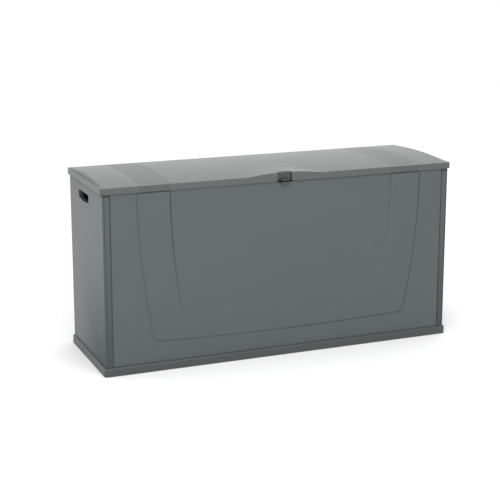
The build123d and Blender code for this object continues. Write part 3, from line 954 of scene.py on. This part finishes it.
class DECKBOX_OT_back(bpy.types.Operator):
    """Build the plain back panel with the lining inside it"""

    bl_idname = "deckbox.back"
    bl_label = "Back panel"

    def execute(self, context):
        s = sizes()
        half = BODY_X - s["post_width"] - s["seam"]
        u = both_sides(spread((0, 500, 20), (500, half / MM, 10)) * MM)
        v = spread((PANEL_FOOT / MM, PANEL_TOP / MM, 16)) * MM
        v[-1] = PANEL_TOP
        x, z = np.meshgrid(-u, v)
        outer = np.stack([x, np.full_like(x, BODY_Y), z], -1)

        def front_edge(edge):
            points = edge.copy()
            points[:, 1] = BODY_Y - s["panel_wall"]
            return points

        points, faces = closed_shell(outer, None, [front_edge])
        panel = new_piece("back_panel_skin", points, faces, "walls")
        outward(panel)
        soften(panel, 0.5 * MM)
        dress(panel, "walls", 28)
        settle(panel, "box", "body_resin", "back_panel")
        lining = panel_lining("back_panel_lining", BODY_Y, -1, half, s)
        settle(lining, "box", "body_resin")
        return {"FINISHED"}


class DECKBOX_OT_ends(bpy.types.Operator):
    """Build the two end panels with their corner posts and flanged hand holes"""

    bl_idname = "deckbox.ends"
    bl_label = "End panels"

    def execute(self, context):
        s = sizes()
        for node, sign in (("left_side_panel", -1), ("right_side_panel", 1)):
            skin = self.skin(s)
            self.hand_hole(skin)
            inside = self.lining(s)
            for made, name in ((skin, node + "_skin"), (inside, node + "_lining")):
                made.name = name
                if sign > 0:
                    made.data.transform(((-1, 0, 0, 0), (0, 1, 0, 0), (0, 0, 1, 0), (0, 0, 0, 1)))
                    outward(made)
                dress(made, "ends", 30)
            settle(skin, "box", "body_resin", node)
            settle(inside, "box", "body_resin")
        return {"FINISHED"}

    def outline(self, s):
        """The end panel seen from above: a long skin wrapped round both corners, with fluted posts."""
        wall, post, radius = s["panel_wall"], s["post_width"], POST_CORNER
        outside = []
        flutes = np.linspace(0, post - radius, 41)
        for step in flutes[:-1]:
            ripple = FLUTE_DEPTH * (1 - math.cos(2 * math.pi * FLUTES * step / (post - radius))) / 2
            outside.append((-BODY_X + post - step, -BODY_Y + ripple))
        for a in np.linspace(0, math.pi / 2, 9):
            outside.append((-BODY_X + radius - radius * math.sin(a), -BODY_Y + radius - radius * math.cos(a)))
        inside = [(-BODY_X + wall + 0.4 * MM, -BODY_Y + wall), (-BODY_X + post, -BODY_Y + wall)]
        guard = BODY_Y - 2 * radius
        front = outside + [(-BODY_X, -guard), (-BODY_X, 0), (-BODY_X, guard)]
        back = [(px, -py) for px, py in reversed(outside)]
        closing = [(px, -py) for px, py in reversed(inside)]
        return front + back + closing + inside

    def skin(self, s):
        outline = self.outline(s)
        levels = (PANEL_FOOT, *(RIM_BOTTOM - drop * MM for drop in (12, 9, 7, 5)), PANEL_TOP)
        made = prism("end_skin", [[(px, py, z) for px, py in outline] for z in levels])
        mark(made, "crease", lambda x, y, z: self.creases(x, y, z, s))
        return made

    def creases(self, x, y, z, s):
        """Painted shade: dark lines round the corner, in the flutes and beside the seam, and a painted shadow
        under the lid's rim.
        """
        run = s["post_width"] - POST_CORNER
        from_seam = s["post_width"] - BODY_X - x
        corner = 0.9 * bell(from_seam - run + 1.5 * MM, 1.6 * MM)
        seam = 0.8 * bell(from_seam, 1.6 * MM)
        flutes = 0.12 * (1 - np.cos(2 * math.pi * FLUTES * from_seam / run))
        flat = (np.abs(y) > BODY_Y - 0.9 * MM) & (from_seam < run + 0.1 * MM)
        post = np.where(flat, np.maximum(np.maximum(corner, seam), flutes), 0)
        # Painted shadow under the lid's rim.
        return np.maximum(post, 0.95 * smooth_step((z - RIM_BOTTOM + 12 * MM) / (6 * MM)))

    def hand_outline(self, margin):
        """The hand hole's outline: straight on top and bowed below, with rounded corners."""
        middle, half, height, bow = 22 * MM, 55.5 * MM + margin, 24 * MM, 5 * MM
        top = RIM_BOTTOM - 30.5 * MM + margin
        foot = top - height - 2 * margin
        radius = 3.5 * MM + margin
        rear = arc(middle + half - radius, top - radius, radius, 0, math.pi / 2, 7)
        fore = arc(middle - half + radius, top - radius, radius, math.pi / 2, math.pi, 7)
        below = [(middle + half * t, foot - bow * (1 - t * t)) for t in np.linspace(-1, 1, 25)]
        return rear + fore + below

    def hand_hole(self, skin):
        """Turns a flange in round the hand hole, then cuts the hole with its flared mouth."""

        def solid(name, stretches):
            layers = []
            for inward, margin in stretches:
                outline = self.hand_outline(margin * MM)
                layers.append([(-BODY_X + inward * MM, y, z) for y, z in outline])
            return prism(name, layers)

        carve(skin, solid("flange", ((1, 2.5), (15, 2.5))), "UNION")
        carve(skin, solid("hole", ((-2, 1.3), (0, 1.3), (0.35, 0.6), (1.2, 0), (20, 0))))

    def lining(self, s):
        """Inner lips that hold the panels' tongues, the top flange and the upright ribs."""
        wall = s["panel_wall"]
        start = -BODY_X + wall - 0.1 * MM
        foot = PLINTH + MM
        parts = []
        top = PANEL_TOP - 0.1 * MM
        reach, rib = 8 * MM, RIB / 2
        for near in ((-181.4 * MM, -177.9 * MM), (177.9 * MM, 181.4 * MM)):
            parts.append(block("lip", (start, near[0], foot), (start + 17 * MM, near[1], top)))
        between_lips, apart, low_top = 176 * MM, 94.5 * MM, 500 * MM
        low = (start, -between_lips, PANEL_TOP - FLANGE)
        parts.append(block("flange", low, (start + reach, between_lips, top)))
        unit = block("upright", (start, -rib, foot), (start + reach, rib, PANEL_TOP - 0.2 * MM))
        unit.hide_render = True
        shorter = block("upright_low", (start, -rib, foot), (start + reach, rib, low_top))
        shorter.hide_render = True
        parts.append(repeat_along("uprights", unit, [(0, -apart, 0), (0, apart, 0)], "walls"))
        parts.append(repeat_along("uprights_low", shorter, [(0, 0, 0)], "walls"))
        return join("end_lining", parts)


# ---- tray ----

class DECKBOX_OT_tray(bpy.types.Operator):
    """Build the base tray with its plinth, floor and underside ribs"""

    bl_idname = "deckbox.tray"
    bl_label = "Base tray"

    def execute(self, context):
        tray = cad_copy("base_tray", "tray", "tray", 0.6 * MM)
        settle(tray, "box", "tray_resin", "base_tray")
        return {"FINISHED"}


# ---- lock ----

class DECKBOX_OT_lock(bpy.types.Operator):
    """Build the lock tab, its pin and the staple with the lug"""

    bl_idname = "deckbox.lock"
    bl_label = "Lock"

    def execute(self, context):
        tab = cad_copy("lock_tab", "tab", "lock", 0.6 * MM)
        settle(tab, "tab", "lock_resin", "lock_tab")
        pin = cad_copy("lock_tab_pin", "tab_pin", "steel", 0.3 * MM)
        settle(pin, "lid", "steel", "lock_tab_pin")
        staple = cad_copy("lock_staple", "staple", "lock", 0.6 * MM)
        settle(staple, "box", "lock_resin", "lock_staple")
        return {"FINISHED"}


# ---- hinges and screws ----

class DECKBOX_OT_hinges(bpy.types.Operator):
    """Build the three hinges: wall leaves, lid leaves and pins"""

    bl_idname = "deckbox.hinges"
    bl_label = "Hinges"

    def execute(self, context):
        for side in ("left", "middle", "right"):
            parts = (
                ("wall_leaf", "hinges", "box", "hinge_resin", 0.5),
                ("lid_leaf", "hinges", "lid", "hinge_resin", 0.5),
                ("pin", "steel", "box", "steel", 0.3),
            )
            for part, key, body, slot, rounding in parts:
                node = "hinge_" + side + "_" + part
                made = cad_copy(node, side + "_hinge_" + part, key, rounding * MM)
                settle(made, body, slot, node)
        return {"FINISHED"}


def screw_unit(length_in, head_radius, head, radius):
    """One pan-head screw with a cross recess, its head facing +Y from y = 0."""
    rings = (
        (radius * 0.5, length_in), (radius, length_in * 0.9), (radius, 0), (head_radius, 0),
        (head_radius, head * 0.35), (head_radius * 0.94, head * 0.65),
        (head_radius * 0.78, head * 0.88), (head_radius * 0.5, head),
    )
    turn = [2 * math.pi * k / 24 for k in range(24)]
    layers = [[(ring * math.cos(a), y, ring * math.sin(a)) for a in turn] for ring, y in rings]
    made = prism("screw_unit", layers, "steel")
    arm, deep = head_radius * 0.55, head * 0.6
    for wide, tall in ((arm, 0.4 * MM), (0.4 * MM, arm)):
        low = (-wide, head - deep, -tall)
        carve(made, block("recess", low, (wide, 2 * head, tall), "steel"))
    made.hide_render = True
    return made


class DECKBOX_OT_screws(bpy.types.Operator):
    """Build the cross-head screws of the hinges and the staple"""

    bl_idname = "deckbox.screws"
    bl_label = "Screws"

    def execute(self, context):
        bodies = {"hinge_wall_screws": "box", "hinge_lid_screws": "lid", "staple_screws": "box"}
        head, head_radius, shank_radius = 1.4 * MM, 3.6 * MM, 2.0 * MM
        for node, body in bodies.items():
            low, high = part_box(node)
            places = self.centres(node)
            seat = high.y - head
            unit = screw_unit(low.y - seat, head_radius, head, shank_radius)
            made = repeat_along(node + "_set", unit, [(x, seat, z) for x, z in places], "steel")
            settle(made, body, "steel", node)
        return {"FINISHED"}

    def centres(self, node):
        """The middle of each screw in a group, found from the fixed frame's mesh."""
        work = bmesh.new()
        work.from_mesh(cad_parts[node].data)
        bmesh.ops.remove_doubles(work, verts=work.verts, dist=1e-6)
        left = set(work.verts)
        found = []
        while left:
            queue = [left.pop()]
            island = []
            while queue:
                v = queue.pop()
                island.append(v)
                for edge in v.link_edges:
                    other = edge.other_vert(v)
                    if other in left:
                        left.remove(other)
                        queue.append(other)
            xs = [v.co.x for v in island]
            zs = [v.co.z for v in island]
            found.append(((min(xs) + max(xs)) / 2, (min(zs) + max(zs)) / 2))
        work.free()
        return sorted(found)


# ---- stage ----

def softbox(name, place, aim, width, height, power):
    """A rectangular area light that faces a point."""
    data = bpy.data.lights.new(name, "AREA")
    data.shape = "RECTANGLE"
    data.size = width
    data.size_y = height
    data.energy = power
    lamp = new_object(name, data)
    lamp.location = place
    lamp.rotation_euler = (Vector(aim) - Vector(place)).to_track_quat("-Z", "Y").to_euler()


def studio_sky():
    """Soft white light: strong overhead and behind, gentler in front, low at the sides."""
    world = bpy.data.worlds.new("studio")
    s = Shader(world, "ShaderNodeOutputWorld")
    split = s.node("ShaderNodeSeparateXYZ", Vector=s.node("ShaderNodeTexCoord").outputs["Generated"])
    x, y, z = [Num(s, socket) for socket in split.outputs]
    overhead = z.above(0.35, 0.5)
    behind, front = y.above(-0.1, 0.9), (0 - y).above(-0.1, 0.9)
    right, left = x.above(-0.1, 0.9), (0 - x).above(-0.1, 0.9)
    low = 1.15 * behind + 0.70 * front + 0.30 * right + 0.35 * left
    strength = 1.35 * overhead + low * (1 - overhead)
    light = s.node("ShaderNodeBackground", Color=(1, 1, 1, 1), Strength=strength)
    s.tree.links.new(light.outputs[0], s.output.inputs[0])
    return world


class DECKBOX_OT_stage(bpy.types.Operator):
    """Set up the pale floor, the soft studio light and the camera"""

    bl_idname = "deckbox.stage"
    bl_label = "Stage"

    def execute(self, context):
        scene = context.scene
        reach = 70.0
        corners = [(-reach, -reach, 0), (reach, -reach, 0), (reach, reach, 0), (-reach, reach, 0)]
        new_piece("floor", corners, [(0, 1, 2, 3)], "floor")
        scene.world = studio_sky()
        softbox("front_softbox", (-0.3, -1.7, 2.1), (0, 0, 0.45), 1.6, 0.8, 26)
        softbox("left_softbox", (-2.6, -0.9, 1.5), (0, -0.1, 0.4), 1.0, 1.2, 8)
        data = bpy.data.cameras.new("camera")
        data.sensor_width = 36
        data.lens = 92.71
        data.shift_y = -0.05
        data.clip_end = 200
        look_down, look_right = 0.2249, 0.3899
        camera = new_object("camera", data)
        camera.location = (-1.6145, -3.8342, 1.3410)
        camera.rotation_euler = (math.pi / 2 - look_down, 0, -look_right)
        scene.camera = camera
        scene.view_settings.view_transform = "Standard"
        return {"FINISHED"}


# ---- panel and registration ----

PIECE_OPERATORS = (
    DECKBOX_OT_lid,
    DECKBOX_OT_front,
    DECKBOX_OT_back,
    DECKBOX_OT_ends,
    DECKBOX_OT_tray,
    DECKBOX_OT_lock,
    DECKBOX_OT_hinges,
    DECKBOX_OT_screws,
    DECKBOX_OT_stage,
)


class DECKBOX_PT_sidebar(bpy.types.Panel):
    """Lists the box's sizes, colours and building steps"""

    bl_idname = "DECKBOX_PT_sidebar"
    bl_label = "Deck Box"
    bl_space_type = "VIEW_3D"
    bl_region_type = "UI"
    bl_category = "Deck Box"

    def draw(self, context):
        for group in (context.scene.deck_box_sizes, context.scene.deck_box_colours):
            column = self.layout.column(align=True)
            for key in own_properties(group):
                column.prop(group, key)
        for operator in PIECE_OPERATORS:
            self.layout.operator(operator.bl_idname)


CLASSES = (DeckBoxSizes, DeckBoxColours, *PIECE_OPERATORS, DECKBOX_PT_sidebar)


def register():
    for cls in CLASSES:
        bpy.utils.register_class(cls)
    bpy.types.Scene.deck_box_sizes = bpy.props.PointerProperty(type=DeckBoxSizes)
    bpy.types.Scene.deck_box_colours = bpy.props.PointerProperty(type=DeckBoxColours)


def unregister():
    del bpy.types.Scene.deck_box_colours
    del bpy.types.Scene.deck_box_sizes
    for cls in reversed(CLASSES):
        bpy.utils.unregister_class(cls)


def main():
    register()
    for operator in PIECE_OPERATORS:
        group, name = operator.bl_idname.split(".")
        getattr(getattr(bpy.ops, group), name)()


if __name__ == "__main__":
    main()
